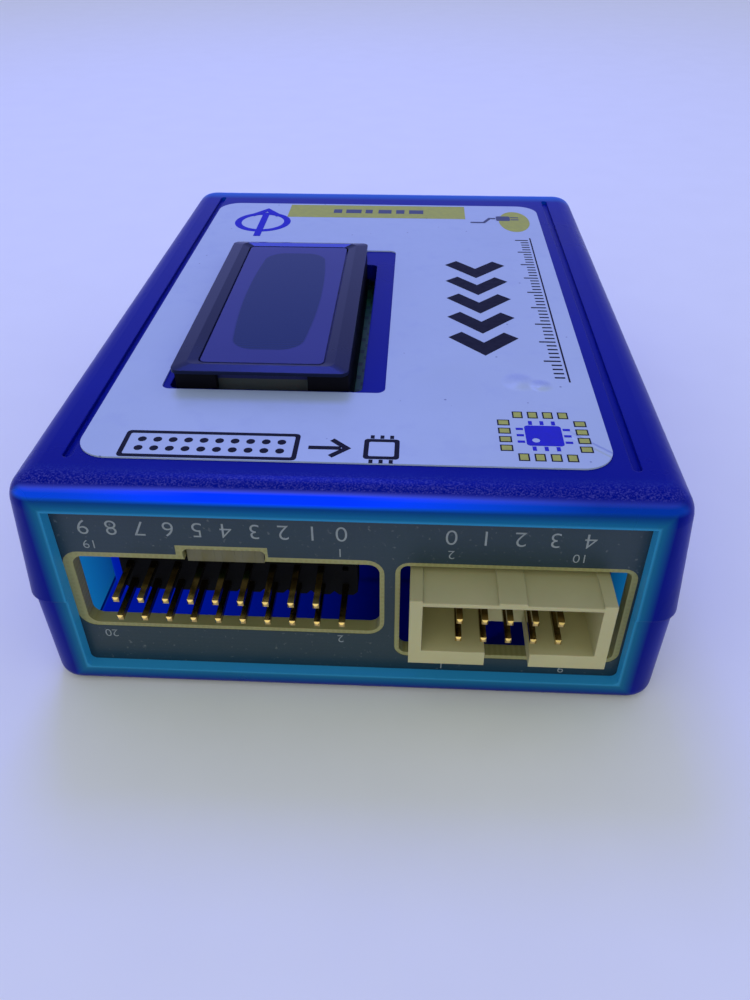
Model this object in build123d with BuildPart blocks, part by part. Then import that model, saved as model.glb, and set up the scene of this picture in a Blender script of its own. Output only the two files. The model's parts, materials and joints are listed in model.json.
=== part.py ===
"""A USB microcontroller programmer: a small circuit board in a translucent two-shell case.

The origin is the centre of the case's underside. +Z is up, +Y runs along the case towards the
USB socket, and the end with the two pin headers faces -Y. All sizes are in millimetres.
"""

import os

from build123d import *

# Case
CASE_WIDTH = 69.2  # at the seam, where the drafted top shell is widest
CASE_LENGTH = 93.0
CASE_HEIGHT = 28.0
TOP_WIDTH = 66.9  # before the top edges are rounded
TOP_LENGTH = 92.4
CORNER_RADIUS = 3.2
TOP_ROUNDING = 3.0
SEAM_Z = 13.0
SEAM_STEP = 0.25  # the bottom shell stands back this far behind the top shell
BASE_WIDTH = 68.4
BASE_LENGTH = 92.2
BOTTOM_ROUNDING = 1.5

# Inside of the case
CAVITY_WIDTH = 63.8
CAVITY_LENGTH = 89.66
FLOOR_TOP = 1.6
CEILING = 25.9
END_OPENING_WIDTH = 59.5
END_OPENING_LOW = 2.7
END_OPENING_RADIUS = 0.7
END_OPENING_HIGH = 24.9
PANEL_RIB = 0.9  # height of the ribs that hold the end panels
PANEL_RIB_THICK = 1.2

# Lap joint between the shells, along the two long walls
LAP_LENGTH = 83.0
LAP_HEIGHT = 1.4
LAP_THICK = 0.9
LAP_GAP = 0.05

# Screw posts that join the shells
POST_X = 28.0
POST_Y = 30.0
POST_RADIUS = 3.4
CASE_SCREW_RADIUS = 1.45
CASE_SCREW_HOLE = 1.6
CASE_SCREW_TOP = 21.0
SCREW_GAP = 0.02
HEAD_POCKET_RADIUS = 3.1
HEAD_POCKET_DEPTH = 3.0
CASE_HEAD_RADIUS = 2.8
CASE_HEAD_HEIGHT = 2.0

# Slots in the top face and the opening for the display
SLOT_X = 28.3
SLOT_WIDTH = 0.9
SLOT_LENGTH = 82.0
SLOT_DEPTH = 0.45
WINDOW_LEFT = -21.35
WINDOW_RIGHT = 0.5
WINDOW_FRONT = -26.9
WINDOW_BACK = 10.4
WINDOW_RADIUS = 0.8

# Label on the top face
LABEL_WIDTH = 54.1
LABEL_LENGTH = 78.4
LABEL_THICK = 0.18
LABEL_X = -0.7
LABEL_Y = -1.8
LABEL_RADIUS = 3.4
LABEL_WINDOW_WIDTH = 25.3
LABEL_WINDOW_LENGTH = 43.1
LABEL_WINDOW_X = -9.55
LABEL_WINDOW_Y = -5.8
LABEL_WINDOW_RADIUS = 1.0

# End panels, cut from circuit board
PANEL_THICK = 1.6
PANEL_FACE = 44.83  # distance of each panel's outer face from the middle
PANEL_GAP = 0.1

# Main circuit board, hung high in the case with its connectors underneath
BOARD_LOW = 17.5
BOARD_THICK = 1.6
BOARD_HIGH = BOARD_LOW + BOARD_THICK
BOARD_WIDTH = 60.0
BOARD_LENGTH = 85.8
BOARD_TAB_PLAY = 0.25  # at each end of the tab that reaches into the front panel's notch
BOARD_TAB_RECESS = 0.6  # from the panel's face back to the end of the tab
BOARD_NOTCH = 4.0  # radius of the notches round the screw posts
BOSS_X = 27.0
BOSS_Y = 18.0
BOSS_RADIUS = 2.4
BOARD_SCREW_RADIUS = 0.95
BOARD_SCREW_TOP = 23.5
BOARD_HEAD_RADIUS = 1.9
BOARD_HEAD_HEIGHT = 1.4

# Pins of both headers
PITCH = 2.54
PIN = 0.64
PIN_POINT = 0.18
PIN_HOLE_RADIUS = 0.5
PIN_STICKS_OUT = 1.0  # above the board

# Bare 2 x 10 right-angle header
HEADER_COLUMNS = 10
HEADER_X = -23.26  # first column
HEADER_UPPER_Z = 15.93
HEADER_TIP_Y = -48.87
HEADER_FACE_Y = -43.0
HEADER_DEPTH = 2.54
HEADER_LEG_Y = -38.9
HEADER_NOTCH = 0.7

# Shrouded 2 x 5 right-angle header
BOX_COLUMNS = 5
BOX_X = 11.53  # first column
BOX_UPPER_Z = 14.45
BOX_TIP_Y = -48.88
BOX_FACE_Y = -49.16
BOX_WIDTH = 20.32
BOX_HEIGHT = 8.9
BOX_DEPTH = 8.9
BOX_SIDE_WALL = 1.3
BOX_TOP_WALL = 0.7  # against the board
BOX_KEY_WALL = 1.85  # the wall with the key slot
BOX_CAVITY_DEPTH = 6.4
BOX_KEY = 4.6
BOX_RELIEF = 0.25  # depth of the two shallow panels in the face against the board
BOX_RIB = 2.8
BOX_END_RIB = 1.3
BOX_LEG_Y = -38.7

# Front panel cut-outs
HEADER_CUT = (-28.7, 3.3, 8.6, 18.22)  # left, right, low, high
HEADER_CUT_RADIUS = 1.2
BOX_CUT = (5.42, 28.85, 5.4, 18.22)
BOX_CUT_RADIUS = 0.8
KEY_NOTCH = (-16.9, -8.4, 18.0, 19.6)
KEY_NOTCH_RADIUS = 0.6

# Display
DISPLAY_X = -10.85
DISPLAY_Y = -7.95
DISPLAY_BOARD_WIDTH = 26.0
DISPLAY_BOARD_LENGTH = 47.0
DISPLAY_BOARD_Y = -6.5
DISPLAY_BOARD_LOW = 21.6
DISPLAY_BOARD_HIGH = 23.2
FRAME_WIDTH = 19.7
FRAME_LENGTH = 36.7
FRAME_WALL = 1.0
FRAME_NOTCH = 10.4
FRAME_NOTCH_LOW = 24.5
BEZEL_LOW = 30.3
BEZEL_EDGE = 0.4
BEZEL_HIGH = 31.0
BEZEL_WIDTH = 19.8
BEZEL_LENGTH = 39.7
BEZEL_RADIUS = 0.9
BEZEL_SIDE = 2.7  # width of the border along the long sides
BEZEL_END = 1.9
BEZEL_CREST = 0.6  # share of the border that slopes up; the rest slopes down to the lens
BEZEL_DIP = 0.25
GLASS_LOW = 28.5
LENS_GAP = 0.22
CELL_GAP = 0.05
SPACER_X = 11.3  # from the display's centre line
SPACER_Y = 21.8
SPACER_RADIUS = 1.6
SPACER_HOLE = 1.05
DISPLAY_SCREW_RADIUS = 0.95
DISPLAY_HEAD_RADIUS = 1.5
DISPLAY_HEAD_HEIGHT = 1.0
NUT_ACROSS = 4.0
NUT_HEIGHT = 1.6
LINK_COLUMNS = 7
LINK_Y = 13.4

# USB socket at the far end
USB_X = 19.0
USB_WIDTH = 7.7
USB_HEIGHT = 3.95
USB_DEPTH = 9.2
USB_FACE_Y = 45.0
USB_WALL = 0.3
USB_CHAMFER = 1.0
USB_CUT_MARGIN = 0.45
USB_TONGUE_THICK = 0.9
USB_TONGUE_WIDTH = 5.0
USB_TONGUE_DEPTH = 5.6
USB_BACK = 2.4
USB_CONTACTS = 5
USB_CONTACT_PITCH = 0.8
USB_CONTACT_WIDTH = 0.4
USB_CONTACT_THICK = 0.15

# Parts on the main board
CHIP_X = 15.0
CHIP_Y = -8.0
CHIP_SIDE = 10.0
CHIP_THICK = 1.1
CHIP_STANDOFF = 0.1
CHIP_MARK = 3.5  # distance of the pin 1 dimple from the chip's middle, each way
LEADS_PER_SIDE = 11
LEAD_PITCH = 0.8
LEAD_WIDTH = 0.35
LEAD_THICK = 0.15
LEAD_REACH = 1.0
CRYSTAL_X = 15.0
CRYSTAL_Y = 6.0
CRYSTAL_LENGTH = 11.3
CRYSTAL_WIDTH = 4.7
CRYSTAL_HEIGHT = 3.5
REGULATOR_X = 9.0
REGULATOR_Y = 24.0
REGULATOR_WIDTH = 6.5
REGULATOR_DEPTH = 3.5
REGULATOR_HEIGHT = 1.6
REGULATOR_PITCH = 2.3
REGULATOR_LEADS = 3
CAN_X = 19.0
CAN_Y = 26.0
CAN_RADIUS = 3.15
CAN_HEIGHT = 5.4
CAN_BASE = 6.6
CAN_BASE_HEIGHT = 1.0
CHIP_PART_LENGTH = 2.0
CHIP_PART_WIDTH = 1.25
RESISTOR_HEIGHT = 0.5
CAPACITOR_HEIGHT = 0.9
# rows of small parts: x, first y, step, count
RESISTOR_ROWS = ((5.5, -22.0, 3.0, 6), (24.0, -6.0, 3.0, 4))
CAPACITOR_ROWS = ((9.0, -25.0, 3.0, 3), (21.0, -25.0, 3.0, 3), (15.0, 11.0, 2.6, 2))


def save(part, name):
    """Label a finished piece and write it to its own STEP file."""
    part.label = name
    export_step(part, f"parts/{name}.step")


def rectangle_between(left, right, low, high):
    """Add a rectangle, given by its four sides, to the sketch in hand."""
    with Locations(((left + right) / 2, (low + high) / 2)):
        Rectangle(right - left, high - low)


def corners(x, y):
    """Locations of the four points (+-x, +-y)."""
    return GridLocations(2 * x, 2 * y, 2, 2)


def panel_ribs(low, high, inner_low, inner_high):
    """Add the two ribs that hold the end panels from behind to the shell in hand."""
    panel_back = PANEL_FACE - PANEL_THICK - PANEL_GAP
    for rear_of_rib in (panel_back - PANEL_RIB_THICK, -panel_back):
        with BuildSketch(Plane.XZ.offset(rear_of_rib)) as rib:
            rectangle_between(-CAVITY_WIDTH / 2, CAVITY_WIDTH / 2, low, high)
            with Locations((0, (inner_low + inner_high) / 2)):
                Rectangle(CAVITY_WIDTH - 2 * PANEL_RIB, inner_high - inner_low, mode=Mode.SUBTRACT)
        extrude(rib.sketch, amount=PANEL_RIB_THICK)


# Top shell
with BuildPart() as top_shell:
    with BuildSketch(Plane.XY.offset(SEAM_Z)):
        RectangleRounded(CASE_WIDTH, CASE_LENGTH, CORNER_RADIUS)
    with BuildSketch(Plane.XY.offset(CASE_HEIGHT)):
        RectangleRounded(TOP_WIDTH, TOP_LENGTH, CORNER_RADIUS)
    loft()
    fillet(top_shell.faces().sort_by(Axis.Z)[-1].edges(), TOP_ROUNDING)
    with BuildSketch(Plane.XY.offset(SEAM_Z)):
        Rectangle(CAVITY_WIDTH, CAVITY_LENGTH)
    extrude(amount=CEILING - SEAM_Z, mode=Mode.SUBTRACT)
    with BuildSketch(Plane.XZ.offset(-CASE_LENGTH / 2)):
        rectangle_between(-END_OPENING_WIDTH / 2, END_OPENING_WIDTH / 2, 0, END_OPENING_HIGH)
    extrude(amount=CASE_LENGTH, mode=Mode.SUBTRACT)
    panel_ribs(SEAM_Z, CEILING, SEAM_Z, CEILING - PANEL_RIB)
    # rebate for the lap joint
    with BuildSketch(Plane.XY.offset(SEAM_Z)):
        Rectangle(CAVITY_WIDTH + 2 * (LAP_THICK + 2 * LAP_GAP), LAP_LENGTH + 4 * LAP_GAP)
        Rectangle(CAVITY_WIDTH, LAP_LENGTH + 4 * LAP_GAP, mode=Mode.SUBTRACT)
    extrude(amount=LAP_HEIGHT + 2 * LAP_GAP, mode=Mode.SUBTRACT)
    # posts and bosses under the ceiling
    with BuildSketch(Plane.XY.offset(SEAM_Z + LAP_GAP)):
        with corners(POST_X, POST_Y):
            Circle(POST_RADIUS)
    extrude(amount=CEILING - SEAM_Z - LAP_GAP)
    with BuildSketch(Plane.XY.offset(BOARD_HIGH)):
        with corners(BOSS_X, BOSS_Y):
            Circle(BOSS_RADIUS)
    extrude(amount=CEILING - BOARD_HIGH)
    with BuildSketch(Plane.XY.offset(SEAM_Z)):
        with corners(POST_X, POST_Y):
            Circle(CASE_SCREW_RADIUS + SCREW_GAP)
    extrude(amount=CASE_SCREW_TOP + PIN - SEAM_Z, mode=Mode.SUBTRACT)
    with BuildSketch(Plane.XY.offset(BOARD_HIGH)):
        with corners(BOSS_X, BOSS_Y):
            Circle(BOARD_SCREW_RADIUS + SCREW_GAP)
    extrude(amount=BOARD_SCREW_TOP + PIN - BOARD_HIGH, mode=Mode.SUBTRACT)
    # opening for the display, and the two long slots beside the label
    with BuildSketch(Plane.XY.offset(CEILING)) as window:
        rectangle_between(WINDOW_LEFT, WINDOW_RIGHT, WINDOW_FRONT, WINDOW_BACK)
        fillet(window.vertices(), WINDOW_RADIUS)
    extrude(amount=CASE_HEIGHT - CEILING, mode=Mode.SUBTRACT)
    with BuildSketch(Plane.XY.offset(CASE_HEIGHT)):
        with Locations((-SLOT_X, 0), (SLOT_X, 0)):
            SlotOverall(SLOT_LENGTH, SLOT_WIDTH, rotation=90)
    extrude(amount=-SLOT_DEPTH, mode=Mode.SUBTRACT)
save(top_shell.part, "top_shell")

# Bottom shell
with BuildPart() as bottom_shell:
    with BuildSketch(Plane.XY):
        RectangleRounded(BASE_WIDTH, BASE_LENGTH, CORNER_RADIUS)
    with BuildSketch(Plane.XY.offset(SEAM_Z)):
        RectangleRounded(CASE_WIDTH - 2 * SEAM_STEP, CASE_LENGTH - 2 * SEAM_STEP, CORNER_RADIUS)
    loft()
    fillet(bottom_shell.faces().sort_by(Axis.Z)[0].edges(), BOTTOM_ROUNDING)
    with BuildSketch(Plane.XY.offset(FLOOR_TOP)):
        Rectangle(CAVITY_WIDTH, CAVITY_LENGTH)
    extrude(amount=SEAM_Z - FLOOR_TOP, mode=Mode.SUBTRACT)
    with BuildSketch(Plane.XZ.offset(-CASE_LENGTH / 2)) as end_opening:
        rectangle_between(-END_OPENING_WIDTH / 2, END_OPENING_WIDTH / 2, END_OPENING_LOW, SEAM_Z)
        fillet(end_opening.vertices().group_by(Axis.Y)[0], END_OPENING_RADIUS)
    extrude(amount=CASE_LENGTH, mode=Mode.SUBTRACT)
    panel_ribs(FLOOR_TOP, SEAM_Z, FLOOR_TOP + PANEL_RIB, SEAM_Z)
    # tongue of the lap joint
    for side in (-1, 1):
        with BuildSketch(Plane.XY.offset(SEAM_Z - LAP_HEIGHT)):
            with Locations((side * (CAVITY_WIDTH / 2 + LAP_GAP + LAP_THICK / 2), 0)):
                Rectangle(LAP_THICK, LAP_LENGTH)
        extrude(amount=2 * LAP_HEIGHT)
    with BuildSketch(Plane.XY.offset(FLOOR_TOP)):
        with corners(POST_X, POST_Y):
            Circle(POST_RADIUS)
    extrude(amount=SEAM_Z - FLOOR_TOP)
    # pocket for each screw head, a little floor of its own above it, and the clearance hole
    with BuildSketch(Plane.XY):
        with corners(POST_X, POST_Y):
            Circle(HEAD_POCKET_RADIUS)
    extrude(amount=HEAD_POCKET_DEPTH, mode=Mode.SUBTRACT)
    with BuildSketch(Plane.XY):
        with corners(POST_X, POST_Y):
            Circle(CASE_SCREW_HOLE)
    extrude(amount=SEAM_Z, mode=Mode.SUBTRACT)
save(bottom_shell.part, "bottom_shell")

# Label, with a window for the display
with BuildPart() as label_sticker:
    with BuildSketch(Plane.XY.offset(CASE_HEIGHT)):
        with Locations((LABEL_X, LABEL_Y)):
            RectangleRounded(LABEL_WIDTH, LABEL_LENGTH, LABEL_RADIUS)
        with Locations((LABEL_WINDOW_X, LABEL_WINDOW_Y)):
            RectangleRounded(
                LABEL_WINDOW_WIDTH, LABEL_WINDOW_LENGTH, LABEL_WINDOW_RADIUS, mode=Mode.SUBTRACT
            )
    extrude(amount=LABEL_THICK)
save(label_sticker.part, "label_sticker")


def panel_blank():
    """Add the outline of an end panel to the sketch in hand."""
    rectangle_between(
        -CAVITY_WIDTH / 2 + PANEL_GAP,
        CAVITY_WIDTH / 2 - PANEL_GAP,
        FLOOR_TOP + PANEL_GAP,
        CEILING - PANEL_GAP,
    )


# Front panel with the cut-outs for the two headers
with BuildPart() as front_panel:
    with BuildSketch(Plane.XZ.offset(PANEL_FACE - PANEL_THICK)):
        panel_blank()
    extrude(amount=PANEL_THICK)
    for cut, radius in (
        (HEADER_CUT, HEADER_CUT_RADIUS),
        (BOX_CUT, BOX_CUT_RADIUS),
        (KEY_NOTCH, KEY_NOTCH_RADIUS),
    ):
        with BuildSketch(Plane.XZ.offset(PANEL_FACE - PANEL_THICK)) as cut_out:
            rectangle_between(*cut)
            fillet(cut_out.vertices(), radius)
        extrude(amount=PANEL_THICK, mode=Mode.SUBTRACT)
save(front_panel.part, "front_panel")

# Rear panel with the cut-out for the USB socket
with BuildPart() as rear_panel:
    with BuildSketch(Plane.XZ.offset(-PANEL_FACE)):
        panel_blank()
    extrude(amount=PANEL_THICK)
    with BuildSketch(Plane.XZ.offset(-PANEL_FACE)) as usb_cut:
        rectangle_between(
            USB_X - USB_WIDTH / 2 - USB_CUT_MARGIN,
            USB_X + USB_WIDTH / 2 + USB_CUT_MARGIN,
            BOARD_LOW - USB_HEIGHT - USB_CUT_MARGIN,
            BOARD_LOW + USB_CUT_MARGIN,
        )
        fillet(usb_cut.vertices(), USB_CUT_MARGIN)
    extrude(amount=PANEL_THICK, mode=Mode.SUBTRACT)
save(rear_panel.part, "rear_panel")

# Main circuit board
header_columns = [HEADER_X + PITCH * i for i in range(HEADER_COLUMNS)]
box_columns = [BOX_X + PITCH * i for i in range(BOX_COLUMNS)]
link_columns = [DISPLAY_X + PITCH * (i - (LINK_COLUMNS - 1) / 2) for i in range(LINK_COLUMNS)]
display_holes = [
    (DISPLAY_X + x * SPACER_X, DISPLAY_BOARD_Y + y * SPACER_Y) for x in (-1, 1) for y in (-1, 1)
]
pin_holes = [(x, HEADER_LEG_Y + row * PITCH) for x in header_columns for row in (0, 1)]
pin_holes += [(x, BOX_LEG_Y + row * PITCH) for x in box_columns for row in (0, 1)]
pin_holes += [(x, LINK_Y) for x in link_columns]
with BuildPart() as main_board:
    with BuildSketch(Plane.XY.offset(BOARD_LOW)):
        Rectangle(BOARD_WIDTH, BOARD_LENGTH)
        # the tab sits in the notch of the front panel and holds the two boards in line
        rectangle_between(
            KEY_NOTCH[0] + BOARD_TAB_PLAY,
            KEY_NOTCH[1] - BOARD_TAB_PLAY,
            BOARD_TAB_RECESS - PANEL_FACE,
            -BOARD_LENGTH / 2,
        )
        with corners(POST_X, POST_Y):
            Circle(BOARD_NOTCH, mode=Mode.SUBTRACT)
        with corners(BOARD_WIDTH / 2, POST_Y):
            Rectangle(BOARD_NOTCH, 2 * BOARD_NOTCH, mode=Mode.SUBTRACT)
        with corners(BOSS_X, BOSS_Y):
            Circle(BOARD_SCREW_RADIUS + SCREW_GAP, mode=Mode.SUBTRACT)
        with Locations(*display_holes):
            Circle(DISPLAY_SCREW_RADIUS + SCREW_GAP, mode=Mode.SUBTRACT)
        with Locations(*pin_holes):
            Circle(PIN_HOLE_RADIUS, mode=Mode.SUBTRACT)
    extrude(amount=BOARD_THICK)
save(main_board.part, "main_board")


def pin_solid(x, row, upper_z, tip_y, first_leg_y):
    """One pin: row 0 is the upper row, and its leg is the one nearer the housing."""
    with BuildPart() as pin:
        z = upper_z - row * PITCH
        leg_y = first_leg_y + row * PITCH
        with BuildSketch(Plane.YZ.offset(x - PIN / 2)):
            with BuildLine():
                Polyline(
                    (tip_y, z - PIN / 2),
                    (leg_y + PIN / 2, z - PIN / 2),
                    (leg_y + PIN / 2, BOARD_HIGH + PIN_STICKS_OUT),
                    (leg_y - PIN / 2, BOARD_HIGH + PIN_STICKS_OUT),
                    (leg_y - PIN / 2, z + PIN / 2),
                    (tip_y, z + PIN / 2),
                    close=True,
                )
            make_face()
        extrude(amount=PIN)
        chamfer(pin.faces().sort_by(Axis.Y)[0].edges(), PIN_POINT)
        outer_bend = pin.edges().filter_by(Axis.X).group_by(Axis.Z)[0].sort_by(Axis.Y)[-1]
        fillet(outer_bend, PIN / 2)
    return pin.part


# Bare header: the first pin of its upper row, nearest the other header, is missing
header_pins = [
    pin_solid(x, row, HEADER_UPPER_Z, HEADER_TIP_Y, HEADER_LEG_Y)
    for row in (0, 1)
    for x in (header_columns[:-1] if row == 0 else header_columns)
]
save(Compound(children=header_pins), "pin_header_pins")

with BuildPart() as pin_header_body:
    middle_z = HEADER_UPPER_Z - PITCH / 2
    width = HEADER_COLUMNS * PITCH
    middle_x = (header_columns[0] + header_columns[-1]) / 2
    with BuildSketch(Plane.XZ.offset(-HEADER_FACE_Y - HEADER_DEPTH)):
        with Locations((middle_x, middle_z)):
            Rectangle(width, 2 * PITCH)
        # notches between neighbouring columns, above and below
        with Locations((middle_x, middle_z)):
            with GridLocations(PITCH, 2 * PITCH, HEADER_COLUMNS + 1, 2):
                Rectangle(HEADER_NOTCH, HEADER_NOTCH, rotation=45, mode=Mode.SUBTRACT)
        with Locations((middle_x, middle_z)):
            with GridLocations(PITCH, PITCH, HEADER_COLUMNS, 2):
                Rectangle(PIN, PIN, mode=Mode.SUBTRACT)
    extrude(amount=HEADER_DEPTH)
save(pin_header_body.part, "pin_header_body")

# Shrouded header
box_middle_x = (box_columns[0] + box_columns[-1]) / 2
box_low = BOARD_LOW - BOX_HEIGHT
box_middle_z = BOARD_LOW - BOX_HEIGHT / 2
with BuildPart() as box_header_shroud:
    with BuildSketch(Plane.XZ.offset(-BOX_FACE_Y - BOX_DEPTH)):
        with Locations((box_middle_x, box_middle_z)):
            Rectangle(BOX_WIDTH, BOX_HEIGHT)
    extrude(amount=BOX_DEPTH)
    with BuildSketch(Plane.XZ.offset(-BOX_FACE_Y - BOX_CAVITY_DEPTH)):
        rectangle_between(
            box_middle_x - BOX_WIDTH / 2 + BOX_SIDE_WALL,
            box_middle_x + BOX_WIDTH / 2 - BOX_SIDE_WALL,
            box_low + BOX_KEY_WALL,
            BOARD_LOW - BOX_TOP_WALL,
        )
        rectangle_between(box_middle_x - BOX_KEY / 2, box_middle_x + BOX_KEY / 2, box_low, box_middle_z)
    extrude(amount=BOX_CAVITY_DEPTH, mode=Mode.SUBTRACT)
    # two shallow panels between the ribs of the face that meets the board
    relief = (BOX_WIDTH - 2 * BOX_END_RIB - BOX_RIB) / 2
    with BuildSketch(Plane.XY.offset(BOARD_LOW)):
        with Locations((box_middle_x, BOX_FACE_Y + BOX_DEPTH / 2)):
            with GridLocations(BOX_RIB + relief, 1, 2, 1):
                Rectangle(relief, BOX_DEPTH)
    extrude(amount=-BOX_RELIEF, mode=Mode.SUBTRACT)
    with BuildSketch(Plane.XZ.offset(-BOX_FACE_Y - BOX_DEPTH)):
        for row in (0, 1):
            with Locations(*[(x, BOX_UPPER_Z - row * PITCH) for x in box_columns]):
                Rectangle(PIN, PIN)
    extrude(amount=BOX_DEPTH, mode=Mode.SUBTRACT)
save(box_header_shroud.part, "box_header_shroud")

box_pins = [pin_solid(x, row, BOX_UPPER_Z, BOX_TIP_Y, BOX_LEG_Y) for row in (0, 1) for x in box_columns]
save(Compound(children=box_pins), "box_header_pins")

# Display: a board, a frame with a notch in each end, and the optical stack inside it
with BuildPart() as display_board:
    with BuildSketch(Plane.XY.offset(DISPLAY_BOARD_LOW)):
        with Locations((DISPLAY_X, DISPLAY_BOARD_Y)):
            RectangleRounded(DISPLAY_BOARD_WIDTH, DISPLAY_BOARD_LENGTH, CORNER_RADIUS / 2)
        with Locations(*display_holes):
            Circle(DISPLAY_SCREW_RADIUS + SCREW_GAP, mode=Mode.SUBTRACT)
        with Locations(*[(x, LINK_Y) for x in link_columns]):
            Circle(PIN_HOLE_RADIUS, mode=Mode.SUBTRACT)
    extrude(amount=DISPLAY_BOARD_HIGH - DISPLAY_BOARD_LOW)
save(display_board.part, "display_board")

with BuildPart() as display_frame:
    with BuildSketch(Plane.XY.offset(DISPLAY_BOARD_HIGH)):
        with Locations((DISPLAY_X, DISPLAY_Y)):
            Rectangle(FRAME_WIDTH, FRAME_LENGTH)
            Rectangle(FRAME_WIDTH - 2 * FRAME_WALL, FRAME_LENGTH - 2 * FRAME_WALL, mode=Mode.SUBTRACT)
    extrude(amount=BEZEL_LOW - DISPLAY_BOARD_HIGH)
    with BuildSketch(Plane.XY.offset(FRAME_NOTCH_LOW)):
        with Locations((DISPLAY_X, DISPLAY_Y)):
            Rectangle(FRAME_NOTCH, FRAME_LENGTH)
    extrude(amount=BEZEL_LOW - FRAME_NOTCH_LOW, mode=Mode.SUBTRACT)
save(display_frame.part, "display_frame")

inside_width = FRAME_WIDTH - 2 * (FRAME_WALL + CELL_GAP)
inside_length = FRAME_LENGTH - 2 * (FRAME_WALL + CELL_GAP)
for name, low, high in (
    ("display_backlight", DISPLAY_BOARD_HIGH, GLASS_LOW),
    ("display_cell", GLASS_LOW, BEZEL_LOW),
):
    with BuildPart() as layer:
        with BuildSketch(Plane.XY.offset(low)):
            with Locations((DISPLAY_X, DISPLAY_Y)):
                Rectangle(inside_width, inside_length)
        extrude(amount=high - low)
    save(layer.part, name)

def bezel_outline(height, inset_share):
    """Sketch the bezel's outline at a height, drawn in by a share of its border."""
    with BuildSketch(Plane.XY.offset(height)) as outline:
        with Locations((DISPLAY_X, DISPLAY_Y)):
            RectangleRounded(
                BEZEL_WIDTH - 2 * BEZEL_SIDE * inset_share,
                BEZEL_LENGTH - 2 * BEZEL_END * inset_share,
                BEZEL_RADIUS,
            )
    return outline.sketch


# the border slopes up from a thin edge to a crest, then down again to the lens
with BuildPart() as display_bezel:
    extrude(bezel_outline(BEZEL_LOW, 0), amount=BEZEL_EDGE)
    loft([bezel_outline(BEZEL_LOW + BEZEL_EDGE, 0), bezel_outline(BEZEL_HIGH, BEZEL_CREST)])
    dip = [bezel_outline(BEZEL_HIGH, BEZEL_CREST), bezel_outline(BEZEL_HIGH - BEZEL_DIP, 1)]
    loft(dip, mode=Mode.SUBTRACT)
    extrude(bezel_outline(BEZEL_LOW, 1), amount=BEZEL_HIGH - BEZEL_LOW, mode=Mode.SUBTRACT)
save(display_bezel.part, "display_bezel")

with BuildPart() as display_lens:
    with BuildSketch(Plane.XY.offset(BEZEL_LOW)):
        with Locations((DISPLAY_X, DISPLAY_Y)):
            RectangleRounded(
                BEZEL_WIDTH - 2 * (BEZEL_SIDE + LENS_GAP),
                BEZEL_LENGTH - 2 * (BEZEL_END + LENS_GAP),
                BEZEL_RADIUS - LENS_GAP,
            )
    extrude(amount=BEZEL_HIGH - BEZEL_DIP - BEZEL_LOW)
save(display_lens.part, "display_lens")

# Link from the display board down to the main board, with its spacers, screws and nuts
with BuildPart() as link_header_body:
    with BuildSketch(Plane.XY.offset(BOARD_HIGH)):
        with Locations((DISPLAY_X, LINK_Y)):
            Rectangle(LINK_COLUMNS * PITCH, PITCH)
            with GridLocations(PITCH, PITCH, LINK_COLUMNS, 1):
                Rectangle(PIN, PIN, mode=Mode.SUBTRACT)
    extrude(amount=DISPLAY_BOARD_LOW - BOARD_HIGH)
save(link_header_body.part, "link_header_body")

with BuildPart() as link_header_pins:
    with BuildSketch(Plane.XY.offset(BOARD_LOW - PIN_STICKS_OUT)):
        with Locations(*[(x, LINK_Y) for x in link_columns]):
            Rectangle(PIN, PIN)
    extrude(amount=DISPLAY_BOARD_HIGH - BOARD_LOW + 2 * PIN_STICKS_OUT)
save(link_header_pins.part, "link_header_pins")

with BuildPart() as display_spacers:
    with BuildSketch(Plane.XY.offset(BOARD_HIGH)):
        with Locations(*display_holes):
            Circle(SPACER_RADIUS)
            Circle(SPACER_HOLE, mode=Mode.SUBTRACT)
    extrude(amount=DISPLAY_BOARD_LOW - BOARD_HIGH)
save(display_spacers.part, "display_spacers")


def screws(places, shank_radius, shank_low, shank_high, head_radius, head_low, head_high, slot_up):
    """Pan-head screws at the given places: a shank, a domed head and a straight slot in it."""
    with BuildPart() as group:
        for x, y in places:
            with BuildSketch(Plane.XY.offset(shank_low)):
                with Locations((x, y)):
                    Circle(shank_radius)
            extrude(amount=shank_high - shank_low)
            with BuildSketch(Plane.XY.offset(head_low)):
                with Locations((x, y)):
                    Circle(head_radius)
            extrude(amount=head_high - head_low)
            deep = (head_high - head_low) / 2
            with BuildSketch(Plane.XY.offset(head_high - deep if slot_up else head_low)):
                with Locations((x, y)):
                    Rectangle(2 * head_radius, head_radius / 4)
            extrude(amount=deep, mode=Mode.SUBTRACT)
        ends = group.edges().filter_by(GeomType.CIRCLE).filter_by(
            lambda edge: abs(edge.radius - head_radius) < SCREW_GAP
        )
        rim = ends.group_by(Axis.Z)[-1 if slot_up else 0]
        chamfer(rim, head_radius / 8)
    return group.part


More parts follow.
